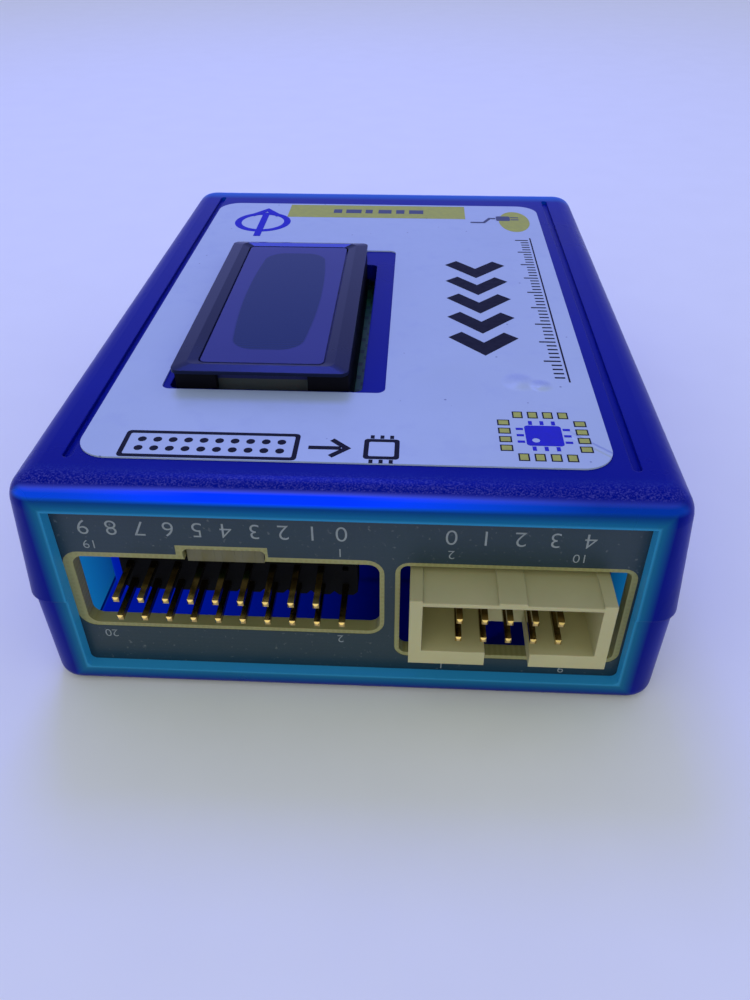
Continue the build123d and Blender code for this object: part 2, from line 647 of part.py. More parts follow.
corner_places = [(x * POST_X, y * POST_Y) for x in (-1, 1) for y in (-1, 1)]
boss_places = [(x * BOSS_X, y * BOSS_Y) for x in (-1, 1) for y in (-1, 1)]
save(
    screws(
        display_holes,
        DISPLAY_SCREW_RADIUS,
        BOARD_LOW - NUT_HEIGHT,
        DISPLAY_BOARD_HIGH,
        DISPLAY_HEAD_RADIUS,
        DISPLAY_BOARD_HIGH,
        DISPLAY_BOARD_HIGH + DISPLAY_HEAD_HEIGHT,
        slot_up=True,
    ),
    "display_screws",
)
save(
    screws(
        corner_places,
        CASE_SCREW_RADIUS,
        HEAD_POCKET_DEPTH,
        CASE_SCREW_TOP,
        CASE_HEAD_RADIUS,
        HEAD_POCKET_DEPTH - CASE_HEAD_HEIGHT,
        HEAD_POCKET_DEPTH,
        slot_up=False,
    ),
    "case_screws",
)
save(
    screws(
        boss_places,
        BOARD_SCREW_RADIUS,
        BOARD_LOW,
        BOARD_SCREW_TOP,
        BOARD_HEAD_RADIUS,
        BOARD_LOW - BOARD_HEAD_HEIGHT,
        BOARD_LOW,
        slot_up=False,
    ),
    "board_screws",
)

with BuildPart() as display_nuts:
    with BuildSketch(Plane.XY.offset(BOARD_LOW - NUT_HEIGHT)):
        with Locations(*display_holes):
            RegularPolygon(NUT_ACROSS / 2, 6, major_radius=False)
            Circle(DISPLAY_SCREW_RADIUS + SCREW_GAP, mode=Mode.SUBTRACT)
    extrude(amount=NUT_HEIGHT)
save(display_nuts.part, "display_nuts")


# USB socket, hung under the board at the far end
def usb_outline(inset):
    """Sketch the socket's outline, its lower corners cut off, drawn in by an inset."""
    with BuildSketch(Plane.XZ.offset(-USB_FACE_Y)) as outline:
        rectangle_between(
            USB_X - USB_WIDTH / 2 + inset,
            USB_X + USB_WIDTH / 2 - inset,
            BOARD_LOW - USB_HEIGHT + inset,
            BOARD_LOW - inset,
        )
        chamfer(outline.vertices().group_by(Axis.Y)[0], USB_CHAMFER)
    return outline.sketch


with BuildPart() as usb_shell:
    extrude(usb_outline(0), amount=USB_DEPTH)
    extrude(usb_outline(USB_WALL), amount=USB_DEPTH, mode=Mode.SUBTRACT)
save(usb_shell.part, "usb_shell")

tongue_z = BOARD_LOW - USB_HEIGHT / 2
with BuildPart() as usb_insert:
    extrude(usb_outline(USB_WALL + CELL_GAP), amount=USB_DEPTH)
    with BuildSketch(Plane.XZ.offset(-USB_FACE_Y)):
        with Locations((USB_X, tongue_z)):
            Rectangle(USB_WIDTH, USB_HEIGHT)
            Rectangle(USB_TONGUE_WIDTH, USB_TONGUE_THICK, mode=Mode.SUBTRACT)
    extrude(amount=USB_DEPTH - USB_BACK, mode=Mode.SUBTRACT)
    with BuildSketch(Plane.XZ.offset(-USB_FACE_Y)):
        with Locations((USB_X, tongue_z)):
            Rectangle(USB_WIDTH, USB_HEIGHT)
    extrude(amount=USB_DEPTH - USB_BACK - USB_TONGUE_DEPTH, mode=Mode.SUBTRACT)
save(usb_insert.part, "usb_insert")

with BuildPart() as usb_contacts:
    contact_top = tongue_z - USB_TONGUE_THICK / 2
    with BuildSketch(Plane.XY.offset(contact_top - USB_CONTACT_THICK)):
        with Locations((USB_X, USB_FACE_Y - USB_DEPTH + USB_BACK + USB_TONGUE_DEPTH / 2)):
            with GridLocations(USB_CONTACT_PITCH, 1, USB_CONTACTS, 1):
                Rectangle(USB_CONTACT_WIDTH, USB_TONGUE_DEPTH - USB_CONTACT_WIDTH)
    extrude(amount=USB_CONTACT_THICK)
save(usb_contacts.part, "usb_contacts")

# Microcontroller with leads on all four sides
with BuildPart() as microcontroller:
    with BuildSketch(Plane.XY.offset(BOARD_HIGH + CHIP_STANDOFF)) as chip:
        with Locations((CHIP_X, CHIP_Y)):
            Rectangle(CHIP_SIDE, CHIP_SIDE)
        chamfer(chip.vertices(), LEAD_WIDTH)
    extrude(amount=CHIP_THICK)
    # the dimple that marks pin 1
    with BuildSketch(Plane.XY.offset(BOARD_HIGH + CHIP_STANDOFF + CHIP_THICK)):
        with Locations((CHIP_X - CHIP_MARK, CHIP_Y - CHIP_MARK)):
            Circle(LEAD_WIDTH)
    extrude(amount=-CHIP_STANDOFF, mode=Mode.SUBTRACT)
save(microcontroller.part, "microcontroller")


def gull_leads(x, y, half_width, pitch, count, height, sides):
    """Z-shaped leads that leave a chip's body at a height and stand flat on the board."""
    leads = []
    for turn in sides:
        for i in range(count):
            with BuildPart() as lead:
                with BuildSketch(Plane.XZ):
                    with BuildLine():
                        knee = half_width + LEAD_REACH / 2
                        Polyline(
                            (half_width, height),
                            (knee, height),
                            (knee, LEAD_THICK),
                            (knee + LEAD_REACH / 2, LEAD_THICK),
                            (knee + LEAD_REACH / 2, 0),
                            (knee - LEAD_THICK, 0),
                            (knee - LEAD_THICK, height - LEAD_THICK),
                            (half_width, height - LEAD_THICK),
                            close=True,
                        )
                    make_face()
                extrude(amount=LEAD_WIDTH / 2, both=True)
            along = pitch * (i - (count - 1) / 2)
            place = Pos(x, y, BOARD_HIGH) * Rot(0, 0, turn) * Pos(0, along, 0)
            leads.append(place * lead.part)
    return Compound(children=leads)


save(
    gull_leads(
        CHIP_X, CHIP_Y, CHIP_SIDE / 2, LEAD_PITCH, LEADS_PER_SIDE, CHIP_THICK / 2, (0, 90, 180, 270)
    ),
    "microcontroller_leads",
)

# Crystal in its can
with BuildPart() as crystal:
    with BuildSketch(Plane.XY.offset(BOARD_HIGH)):
        with Locations((CRYSTAL_X, CRYSTAL_Y)):
            SlotOverall(CRYSTAL_LENGTH, CRYSTAL_WIDTH)
    extrude(amount=LEAD_WIDTH)
    with BuildSketch(Plane.XY.offset(BOARD_HIGH)):
        with Locations((CRYSTAL_X, CRYSTAL_Y)):
            SlotOverall(CRYSTAL_LENGTH - LEAD_REACH, CRYSTAL_WIDTH - LEAD_REACH)
    extrude(amount=CRYSTAL_HEIGHT)
    fillet(crystal.faces().sort_by(Axis.Z)[-1].edges(), LEAD_WIDTH)
save(crystal.part, "crystal")

# Voltage regulator
with BuildPart() as regulator:
    with BuildSketch(Plane.XY.offset(BOARD_HIGH + CHIP_STANDOFF)):
        with Locations((REGULATOR_X, REGULATOR_Y)):
            Rectangle(REGULATOR_DEPTH, REGULATOR_WIDTH)
    extrude(amount=REGULATOR_HEIGHT)
    chamfer(regulator.faces().sort_by(Axis.Z)[-1].edges(), LEAD_WIDTH)
save(regulator.part, "regulator")
save(
    gull_leads(
        REGULATOR_X,
        REGULATOR_Y,
        REGULATOR_DEPTH / 2,
        REGULATOR_PITCH,
        REGULATOR_LEADS,
        REGULATOR_HEIGHT / 2,
        (0,),
    ),
    "regulator_leads",
)

# Electrolytic capacitor on its square base
with BuildPart() as capacitor_base:
    with BuildSketch(Plane.XY.offset(BOARD_HIGH)) as base:
        with Locations((CAN_X, CAN_Y)):
            Rectangle(CAN_BASE, CAN_BASE)
        chamfer(base.vertices().group_by(Axis.Y)[-1], LEAD_REACH)
    extrude(amount=CAN_BASE_HEIGHT)
save(capacitor_base.part, "capacitor_base")
with BuildPart() as capacitor_can:
    with BuildSketch(Plane.XY.offset(BOARD_HIGH + CAN_BASE_HEIGHT)):
        with Locations((CAN_X, CAN_Y)):
            Circle(CAN_RADIUS)
    extrude(amount=CAN_HEIGHT - CAN_BASE_HEIGHT)
    fillet(capacitor_can.faces().sort_by(Axis.Z)[-1].edges(), LEAD_WIDTH)
save(capacitor_can.part, "capacitor_can")


# Small surface-mount parts in rows
def chip_parts(rows, height):
    """Rows of small rectangular parts, each row given by its start, step and count."""
    with BuildPart() as group:
        for x, y, step, count in rows:
            with BuildSketch(Plane.XY.offset(BOARD_HIGH)):
                with Locations(*[(x, y + step * i) for i in range(count)]):
                    Rectangle(CHIP_PART_LENGTH, CHIP_PART_WIDTH)
            extrude(amount=height)
    return group.part


save(chip_parts(RESISTOR_ROWS, RESISTOR_HEIGHT), "resistors")
save(chip_parts(CAPACITOR_ROWS, CAPACITOR_HEIGHT), "ceramic_capacitors")
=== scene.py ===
"""Looks of a USB microcontroller programmer: materials, printed art, floor, light and camera.

Places are in the frame of the CAD model: the origin is the middle of the case's underside, +Z is
up, and the end with the two pin headers faces -Y. Lengths are in metres, unless a comment or a
docstring says mm. Colours are linear: red, green, blue and, for most, an alpha of 1.
"""

import json
import math

import bpy
from mathutils import Matrix, Vector

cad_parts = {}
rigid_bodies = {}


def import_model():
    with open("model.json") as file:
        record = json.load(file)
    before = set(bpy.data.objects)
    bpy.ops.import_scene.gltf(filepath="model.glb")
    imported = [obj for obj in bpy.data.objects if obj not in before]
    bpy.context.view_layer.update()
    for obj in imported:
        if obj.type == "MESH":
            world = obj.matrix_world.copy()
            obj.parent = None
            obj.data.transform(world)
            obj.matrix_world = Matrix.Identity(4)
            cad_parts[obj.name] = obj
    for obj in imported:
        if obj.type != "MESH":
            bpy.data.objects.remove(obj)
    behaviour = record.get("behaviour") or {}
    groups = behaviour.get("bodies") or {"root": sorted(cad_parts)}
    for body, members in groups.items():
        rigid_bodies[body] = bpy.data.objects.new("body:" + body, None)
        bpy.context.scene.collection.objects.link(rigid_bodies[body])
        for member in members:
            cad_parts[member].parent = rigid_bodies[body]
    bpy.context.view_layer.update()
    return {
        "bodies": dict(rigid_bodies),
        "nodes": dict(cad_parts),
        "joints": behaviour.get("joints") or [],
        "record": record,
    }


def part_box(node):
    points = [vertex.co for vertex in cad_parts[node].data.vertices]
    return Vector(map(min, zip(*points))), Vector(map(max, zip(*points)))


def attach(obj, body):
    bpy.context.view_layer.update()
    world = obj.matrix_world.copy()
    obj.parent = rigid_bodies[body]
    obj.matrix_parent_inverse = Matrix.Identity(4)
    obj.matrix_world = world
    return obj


MM = 0.001

# Camera
CAMERA_PLACE = (6.07, -107.48, 74.58)  # mm
CAMERA_TURNS = (("X", 52.534), ("Y", 2.338), ("Z", 1.576))  # degrees, applied last to first
SENSOR = 36.0  # mm, along the height of the image
LENS = 29.70  # mm
NEAREST = 5.0  # mm

# Studio: a sky that is warm in front and violet behind, and two soft square lights
WARM_FRONT = (0.74, 0.79, 0.58, 1)
VIOLET_BACK = (0.34, 0.38, 0.96, 1)
SKY_SPAN = (-0.8, 0.8)  # of the y of the direction
LIGHT_TARGET = (0, 0, 0.015)
LIGHTS = (  # name, place, size, power in watts, colour
    ("key", (-0.07, 0.29, 0.48), 0.18, 1.3, (0.14, 0.18, 1.0)),
    ("fill", (-0.15, -0.55, 0.35), 0.5, 0.5, (1.0, 0.98, 0.80)),
)
FLOOR_HALF = 3.0
FLOOR_COLOURS = ((0.80, 0.80, 0.80, 1), (0.84, 0.84, 0.84, 1))

# Places on the object, in mm
LABEL_TOP = 28.18
PANEL_FACE = -44.83
OPENING_SIDE = 29.75  # half the width of the openings in the case's ends
OPENING_LOW = 2.7
OPENING_HIGH = 24.9
CAVITY_SIDE = 31.9  # inner face of the long walls
PIN_TIPS = (-48.5, -47.8)  # from bright plating to painted shade on the shafts

# Painted glow and painted highlights on the case, in mm: where its colour is made brighter and where it
# glows, standing in for light that passes through its thin walls. Most pairs are where a mask starts to
# change and where it stops.
PAST_PANEL = (44.6, 44.8)
RIM = (0.4, 0.1)  # outside the opening
HALO = (1.7, 0.5)  # outside the opening
CREST_ALONG = (45.7, 1.1)  # middle and reach
CREST_UP = (26.85, 0.75)  # middle and reach
CREST_LEFT = (-28, -14)
CREST_RIGHT = (0.0, 24)
FAR_ALONG = (40.5, 44.5)
FAR_UP = (25, 26)
WALL_REACH = 0.12
WALL_ALONG = (30, 44)
WALL_END = (44.6, 44.3)
WALL_UP = (25, 24.5)
FRONT_ALONG = (-42, -44)
FRONT_UP = (26.9, 27.5)
INSIDE_ACROSS = (31.6, 31.4)
INSIDE_ALONG = (43.2, 42.8)
INSIDE_LOW = (0.8, 1.2)
INSIDE_HIGH = (17, 14)
CAVITY_FADE = (-24, 3)

# Share of each mask in the painted glow of the case
PAINTED_GLOW_SHARES = (
    ("rim", 0.3),
    ("halo", 0.12),
    ("crest", 0.75),
    ("far", 0.8),
    ("wall", 1.0),
    ("sparkle", 0.16),
    ("cavity", 0.42),
)
CASE_DEEP = (0.0003, 0.004, 0.25, 1)
CASE_PALE = (0.0006, 0.009, 0.33, 1)
# brighter colours painted over the case's base colour where it shows painted glow
PAINTED_GLOW_TINTS = (
    ("crest", (0.0, 0.04, 0.9, 1)),
    ("halo", (0.01, 0.12, 0.26, 1)),
    ("rim", (0.035, 0.22, 0.40, 1)),
)
# colours of the painted glow: the rim's colour, covered where the other masks lie
PAINTED_GLOW_RIM = (0.006, 0.18, 0.44, 1)
PAINTED_GLOW_LAYERS = (
    ("rounding", (0.25, 0.25, 0.75, 1)),
    ("crest", (0.0, 0.02, 1.0, 1)),
    ("far", (0.0, 0.09, 0.52, 1)),
    ("inside", (0.0, 0.016, 0.55, 1)),
)
CASE_ABSORBS = {"Color": (0.02, 0.30, 0.96, 1), "Density": 320.0}

# Marks of wear on the label, in mm
BLISTERS = (((18.2, -24.2, 28.2), 2.2), ((20.6, -24.9, 28.2), 1.5))  # middle and radius
CREASE_SUM = -12.4  # of x and y along the crease
CREASE_REACH = 0.7
CREASE_START = (22, 24)

# Viewing area of the display, in mm: middle, and half of its size less the rounding of its corners
VIEW_ACROSS = (-10.85, 2.5)
VIEW_ALONG = (-7.55, 12.5)
VIEW_CORNER = 2.3
VIEW_TAPER = 0.7  # how much narrower each side is at the ends than in the middle
VIEW_EDGE = 0.25
BEZEL_DULL = (-18, -24)  # along y, from polished to duller

# Print: thickness of a film, and the middles of two of the label's marks, in mm
PRINT_THICK = 0.02
CHIP_MARK = (19.8, -35.3)
RING_MARK = (-19.3, 27.9)

# Solder mask of the panels, in mm: left, right, low and high of each opening in it
MASK_THICK = 0.04
MASK_MARGIN = 0.05  # the mask stops this far inside the panel's edge
LARGE_OPENING = (-29.8, 3.8, 8.1, 18.85)
LARGE_RADIUS = 1.9
KEY_OPENING = (-17.6, -8.1, 18.85, 20.1)
SMALL_OPENING = (4.9, 29.5, 4.85, 18.7)
SMALL_RADIUS = 1.5
SOCKET_MARGIN = 1.2
MASK_COLOUR = (0.008, 0.026, 0.044)

# Numbers on the front panel, in mm
FIGURE_SHARE = 0.7  # height of a figure in its font size
COLUMN_HEIGHT = 1.9
COLUMN_Z = 22.3
LARGE_COLUMNS = (10, -0.5, -2.9)  # count, first place and pitch
SMALL_COLUMNS = (5, 10.4, 3.4)
PIN_HEIGHT = 1.1
PIN_NUMBERS = (
    ("19", -26.3, 20.0),
    ("1", -0.7, 19.8),
    ("20", -26.6, 7.0),
    ("2", -1.0, 7.3),
    ("2", 10.5, 20.0),
    ("10", 23.3, 20.0),
    ("1", 10.2, 3.6),
    ("9", 23.5, 3.6),
)

INKS = {
    "black": (0.006, 0.006, 0.014, 1),
    "blue": (0.02, 0.02, 0.45, 1),
    "yellow": (0.38, 0.39, 0.09, 1),
    "grey": (0.08, 0.09, 0.16, 1),
}
SILK_WHITE = (0.25, 0.28, 0.32, 1)


# ---- Node helpers -----------------------------------------------------------------------------


def node(tree, kind, inputs=(), **settings):
    """Add a shader node. Inputs map a socket to a value or to another node's output."""
    made = tree.nodes.new("ShaderNode" + kind)
    for name, value in settings.items():
        setattr(made, name, value)
    for socket, value in dict(inputs).items():
        if isinstance(value, bpy.types.NodeSocket):
            tree.links.new(value, made.inputs[socket])
        else:
            made.inputs[socket].default_value = value
    return made


def drive(tree, shader, **sockets):
    """Link values to sockets of a shader, named with _ for a space."""
    for socket, value in sockets.items():
        tree.links.new(value, shader.inputs[socket.replace("_", " ")])


def place_of(tree):
    """The place of the shaded point on the object."""
    return node(tree, "TexCoord").outputs["Object"]


def place_axes(tree):
    """The x, y and z of the shaded point on the object."""
    return node(tree, "SeparateXYZ", {0: place_of(tree)}).outputs


def noise(tree, size, detail=3.0, stretch=(1, 1, 1)):
    """A value around 0.5 with features of about the given size."""
    place = node(tree, "Mapping", {"Vector": place_of(tree), "Scale": stretch}).outputs[0]
    inputs = {"Vector": place, "Scale": 1 / size, "Detail": detail}
    return node(tree, "TexNoise", inputs).outputs["Fac"]


def cells(tree, size):
    """The distance to the nearest of many points about the given size apart, as a share of it."""
    inputs = {"Vector": place_of(tree), "Scale": 1 / size}
    return node(tree, "TexVoronoi", inputs).outputs["Distance"]


def math_node(tree, operation, first, second=0.0):
    return node(tree, "Math", {0: first, 1: second}, operation=operation).outputs[0]


def product(tree, *values):
    """All the values multiplied together."""
    total = values[0]
    for value in values[1:]:
        total = math_node(tree, "MULTIPLY", total, value)
    return total


def largest(tree, *values):
    total = values[0]
    for value in values[1:]:
        total = math_node(tree, "MAXIMUM", total, value)
    return total


def remap(tree, value, span, to):
    """Stretch a value from one span to another, and clamp it there."""
    inputs = {"Value": value, 1: span[0], 2: span[1], 3: to[0], 4: to[1]}
    return node(tree, "MapRange", inputs).outputs[0]


def ramp(tree, value, span, dim=0.0, bright=1.0):
    """Dim at the first place of a span in mm, bright at the second."""
    return remap(tree, value, (span[0] * MM, span[1] * MM), (dim, bright))


def offset_from(tree, value, middle):
    """How far a coordinate is from a place in mm, in metres."""
    return math_node(tree, "ABSOLUTE", math_node(tree, "SUBTRACT", value, middle * MM))


def near(tree, value, middle, reach):
    """1 where a coordinate is at a place in mm, falling to 0 at a reach from it."""
    return ramp(tree, offset_from(tree, value, middle), (reach, 0.4 * reach))


def beyond(tree, value, middle, half):
    """How far a coordinate is beyond half a size from a middle, both in mm, in metres, or 0."""
    past = math_node(tree, "SUBTRACT", offset_from(tree, value, middle), half * MM)
    return math_node(tree, "MAXIMUM", past, 0.0)


def spot(tree, centre, radius):
    """1 at a point of the object, in mm, falling smoothly to 0 at a radius from it."""
    ends = {0: place_of(tree), 1: [c * MM for c in centre]}
    length = node(tree, "VectorMath", ends, operation="DISTANCE").outputs["Value"]
    inputs = {"Value": length, 1: 0, 2: radius * MM, 3: 1, 4: 0}
    return node(tree, "MapRange", inputs, interpolation_type="SMOOTHSTEP").outputs[0]


def blend(tree, amount, first, second):
    """The colour between two others."""
    return node(tree, "Mix", {0: amount, 6: first, 7: second}, data_type="RGBA").outputs[2]


def layered(tree, colour, masks, layers):
    """A colour covered by the colours of named masks, one after the other."""
    for name, cover in layers:
        colour = blend(tree, masks[name], colour, cover)
    return colour


def bump(tree, height, depth, normal=None):
    """A normal tilted by a height of 0 to 1 that stands for a real depth."""
    inputs = {"Height": height, "Distance": depth, "Strength": 1.0}
    if normal is not None:
        inputs["Normal"] = normal
    return node(tree, "Bump", inputs).outputs[0]


def soft_edges(tree, radius):
    """The normal with edges rounded to a radius, and a mask that is 1 on those edges."""
    rounded = node(tree, "Bevel", {"Radius": radius}, samples=4).outputs[0]
    flat = node(tree, "NewGeometry").outputs["Normal"]
    dot = node(tree, "VectorMath", {0: rounded, 1: flat}, operation="DOT_PRODUCT")
    return rounded, remap(tree, dot.outputs["Value"], (0.98, 0.8), (0, 1))


def new_material(name, **fixed):
    """A material, its tree and its shader, whose own sockets hold the given values."""
    made = bpy.data.materials.new(name)
    made.use_nodes = True
    shader = made.node_tree.nodes["Principled BSDF"]
    for socket, value in fixed.items():
        shader.inputs[socket.replace("_", " ")].default_value = value
    return made, made.node_tree, shader


def scaled(colour, factor):
    return tuple(min(1.0, c * factor) for c in colour[:3]) + (1,)


def mottled(tree, cloud, colour, darkest, lightest):
    """A colour that follows a cloudy value between two factors."""
    return blend(tree, cloud, scaled(colour, darkest), scaled(colour, lightest))


def gloss_between(tree, value, low, high):
    """A roughness that follows a cloudy value."""
    return remap(tree, value, (0.3, 0.7), (low, high))


def surface(
    name,
    colour,
    roughness,
    mottle=0.12,
    mottle_size=4 * MM,
    grain=0.25 * MM,
    grain_depth=0.004 * MM,
    stretch=(1, 1, 1),
    worn=None,
    edge=0.12 * MM,
    **fixed,
):
    """A material with mottled colour, uneven gloss, fine grain and worn, softened edges."""
    made, tree, shader = new_material(name, **fixed)
    cloud = noise(tree, mottle_size, 4.0)
    fine = noise(tree, grain, 2.0, stretch)
    base = mottled(tree, cloud, colour, 1 - mottle, 1 + mottle)
    normal, edges = soft_edges(tree, edge)
    if worn is not None:
        rubbed = product(tree, edges, remap(tree, cloud, (0.4, 0.65), (0, 1)))
        base = blend(tree, rubbed, base, worn)
    uneven = math_node(tree, "ADD", product(tree, cloud, 0.6), product(tree, fine, 0.4))
    gloss = gloss_between(tree, uneven, roughness * 0.75, min(1.0, roughness * 1.3))
    drive(tree, shader, Base_Color=base, Roughness=gloss, Normal=bump(tree, fine, grain_depth, normal))
    return made


def feeding(shader, socket):
    """The value that is linked to a socket of a shader."""
    return shader.inputs[socket].links[0].from_socket


# ---- Materials --------------------------------------------------------------------------------


def opening_masks(tree, along, across, z):
    """Masks of painted glow for the rim of the openings in the case's ends, and for a halo round it."""
    beside = math_node(tree, "SUBTRACT", across, OPENING_SIDE * MM)
    above = math_node(tree, "SUBTRACT", z, OPENING_HIGH * MM)
    below = math_node(tree, "SUBTRACT", OPENING_LOW * MM, z)
    outside = largest(tree, beside, above, below)
    past_panel = ramp(tree, along, PAST_PANEL)
    rim = product(tree, past_panel, ramp(tree, outside, RIM))
    halo = product(tree, past_panel, ramp(tree, outside, HALO))
    return {"rim": rim, "halo": halo}


def crest_mask(tree, x, along, z):
    """A band of painted glow over each opening, brightest left of the middle and dim towards the right."""
    band = product(tree, near(tree, along, *CREST_ALONG), near(tree, z, *CREST_UP))
    left = ramp(tree, x, CREST_LEFT, 0.55, 1)
    right = ramp(tree, x, CREST_RIGHT, 1, 0.2)
    return product(tree, band, product(tree, left, right))


def wall_mask(tree, along, across, z):
    """Painted glow on the inner faces of the long walls, brighter towards the ends of the case."""
    inner = near(tree, across, CAVITY_SIDE, WALL_REACH)
    ends = product(tree, ramp(tree, along, WALL_ALONG, 0.3, 1), ramp(tree, along, WALL_END))
    return product(tree, inner, ends, ramp(tree, z, WALL_UP))


def cavity_masks(tree, x, along, across, z):
    """Masks for the faces inside the case, and for their painted glow, which fades from the left wall."""
    inside = product(
        tree,
        ramp(tree, across, INSIDE_ACROSS),
        ramp(tree, along, INSIDE_ALONG),
        ramp(tree, z, INSIDE_LOW),
        ramp(tree, z, INSIDE_HIGH),
    )
    return {"inside": inside, "cavity": product(tree, inside, ramp(tree, x, CAVITY_FADE, 1, 0.03))}


def case_masks(tree):
    """Where the case gets painted glow, and where its skin gets painted sparkle highlights."""
    x, y, z = place_axes(tree)
    along, across = math_node(tree, "ABSOLUTE", y), math_node(tree, "ABSOLUTE", x)
    masks = opening_masks(tree, along, across, z)
    masks["crest"] = crest_mask(tree, x, along, z)
    masks["far"] = product(tree, ramp(tree, y, FAR_ALONG), ramp(tree, z, FAR_UP))
    masks["wall"] = wall_mask(tree, along, across, z)
    masks.update(cavity_masks(tree, x, along, across, z))
    # painted highlight on the front rounding, with painted sparkle specks there
    masks["rounding"] = product(tree, ramp(tree, y, FRONT_ALONG), ramp(tree, z, FRONT_UP))
    grains = remap(tree, noise(tree, 0.17 * MM, 2.0), (0.45, 0.75), (0, 1))
    masks["sparkle"] = product(tree, masks["rounding"], grains)
    return masks


def case_plastic():
    """Translucent blue plastic with a satin skin, with painted glow at its rims and ends standing in for
    light carried through its walls.
    """
    made, tree, shader = new_material(
        "case_plastic",
        Transmission_Weight=0.3,
        IOR=1.46,
        Specular_IOR_Level=0.05,
        Specular_Tint=(0.05, 0.12, 1.0, 1),
    )
    cloud = noise(tree, 16 * MM, 3.0)
    skin = noise(tree, 0.3 * MM, 2.0)
    masks = case_masks(tree)
    # the brighter tints in the base colour and the emission are painted light, placed by the masks
    base = layered(tree, blend(tree, cloud, CASE_DEEP, CASE_PALE), masks, PAINTED_GLOW_TINTS)
    glow = layered(tree, PAINTED_GLOW_RIM, masks, PAINTED_GLOW_LAYERS)
    strength = largest(tree, *[product(tree, masks[name], share) for name, share in PAINTED_GLOW_SHARES])
    rounded, _ = soft_edges(tree, 0.25 * MM)
    drive(tree, shader, Base_Color=base, Emission_Color=glow, Emission_Strength=strength)
    drive(tree, shader, Roughness=gloss_between(tree, cloud, 0.26, 0.34))
    drive(tree, shader, Normal=bump(tree, skin, 0.005 * MM, rounded))
    drive(tree, tree.nodes["Material Output"], Volume=node(tree, "VolumeAbsorption", CASE_ABSORBS).outputs[0])
    return made


def label_vinyl():
    """Printed white vinyl with faint ripples, a crease, blisters and specks of dirt."""
    # painted glow: a faint blue emission over the whole label, which adds blue to it in lit and shaded parts
    # alike
    made, tree, shader = new_material(
        "label_vinyl",
        Coat_Weight=0.25,
        Coat_Roughness=0.28,
        Emission_Color=(0.01, 0.03, 0.30, 1),
        Emission_Strength=0.35,
    )
    cloud = noise(tree, 14 * MM, 3.0)
    fibre = noise(tree, 0.3 * MM, 3.0)
    grime = noise(tree, 3.0 * MM, 5.0)
    specks = remap(tree, cells(tree, 3.2 * MM), (0.035, 0.05), (0.7, 0))
    base = blend(tree, cloud, (0.36, 0.425, 0.47, 1), (0.41, 0.48, 0.53, 1))
    base = blend(tree, remap(tree, grime, (0.55, 0.8), (0, 0.25)), base, (0.28, 0.32, 0.46, 1))
    base = blend(tree, specks, base, (0.05, 0.05, 0.08, 1))
    normal = bump(tree, cloud, 0.25 * MM)
    normal = bump(tree, label_lumps(tree), 0.45 * MM, normal)
    drive(tree, shader, Base_Color=base, Roughness=gloss_between(tree, grime, 0.30, 0.48))
    drive(tree, shader, Normal=bump(tree, fibre, 0.004 * MM, normal))
    return made


def label_lumps(tree):
    """The height of two blisters beside the chip mark, and of a crease across the corner."""
    blisters = math_node(tree, "ADD", *[spot(tree, middle, radius) for middle, radius in BLISTERS])
    x, y, _ = place_axes(tree)
    crease = near(tree, math_node(tree, "ADD", x, y), CREASE_SUM, CREASE_REACH)
    crease = product(tree, crease, ramp(tree, x, CREASE_START))
    return math_node(tree, "ADD", blisters, product(tree, crease, 0.5))


def weave_height(tree):
    """The crossing threads of the glass cloth inside a circuit board."""
    threads = []
    for direction in ("X", "Z"):
        inputs = {"Vector": place_of(tree), "Scale": 1 / (1.9 * MM), "Distortion": 0.6}
        made = node(tree, "TexWave", inputs, bands_direction=direction, wave_profile="SIN")
        threads.append(made.outputs["Fac"])
    return math_node(tree, "MAXIMUM", *threads)


def bare_laminate():
    """Glass fibre laminate without its solder mask: olive, with the weave showing."""
    made, tree, shader = new_material("bare_laminate", Subsurface_Weight=0.15, Subsurface_Scale=0.4 * MM)
    cloud = noise(tree, 5 * MM, 4.0)
    weave = weave_height(tree)
    base = blend(tree, cloud, (0.20, 0.19, 0.075, 1), (0.30, 0.28, 0.12, 1))
    base = blend(tree, product(tree, weave, 0.35), base, (0.36, 0.35, 0.18, 1))
    rounded, _ = soft_edges(tree, 0.1 * MM)
    drive(tree, shader, Base_Color=base, Roughness=gloss_between(tree, cloud, 0.38, 0.55))
    drive(tree, shader, Normal=bump(tree, weave, 0.012 * MM, rounded))
    return made


def solder_mask(name, colour):
    """Satin solder mask over the weave of the board, with a little dust."""
    made, tree, shader = new_material(name, Coat_Weight=0.1, Coat_Roughness=0.3)
    cloud = noise(tree, 7 * MM, 4.0)
    dust = remap(tree, noise(tree, 0.5 * MM, 5.0), (0.64, 0.78), (0, 0.35))
    base = blend(tree, dust, mottled(tree, cloud, colour, 0.85, 1.2), (0.25, 0.27, 0.28, 1))
    drive(tree, shader, Base_Color=base, Roughness=gloss_between(tree, cloud, 0.36, 0.5))
    drive(tree, shader, Normal=bump(tree, weave_height(tree), 0.006 * MM))
    return made


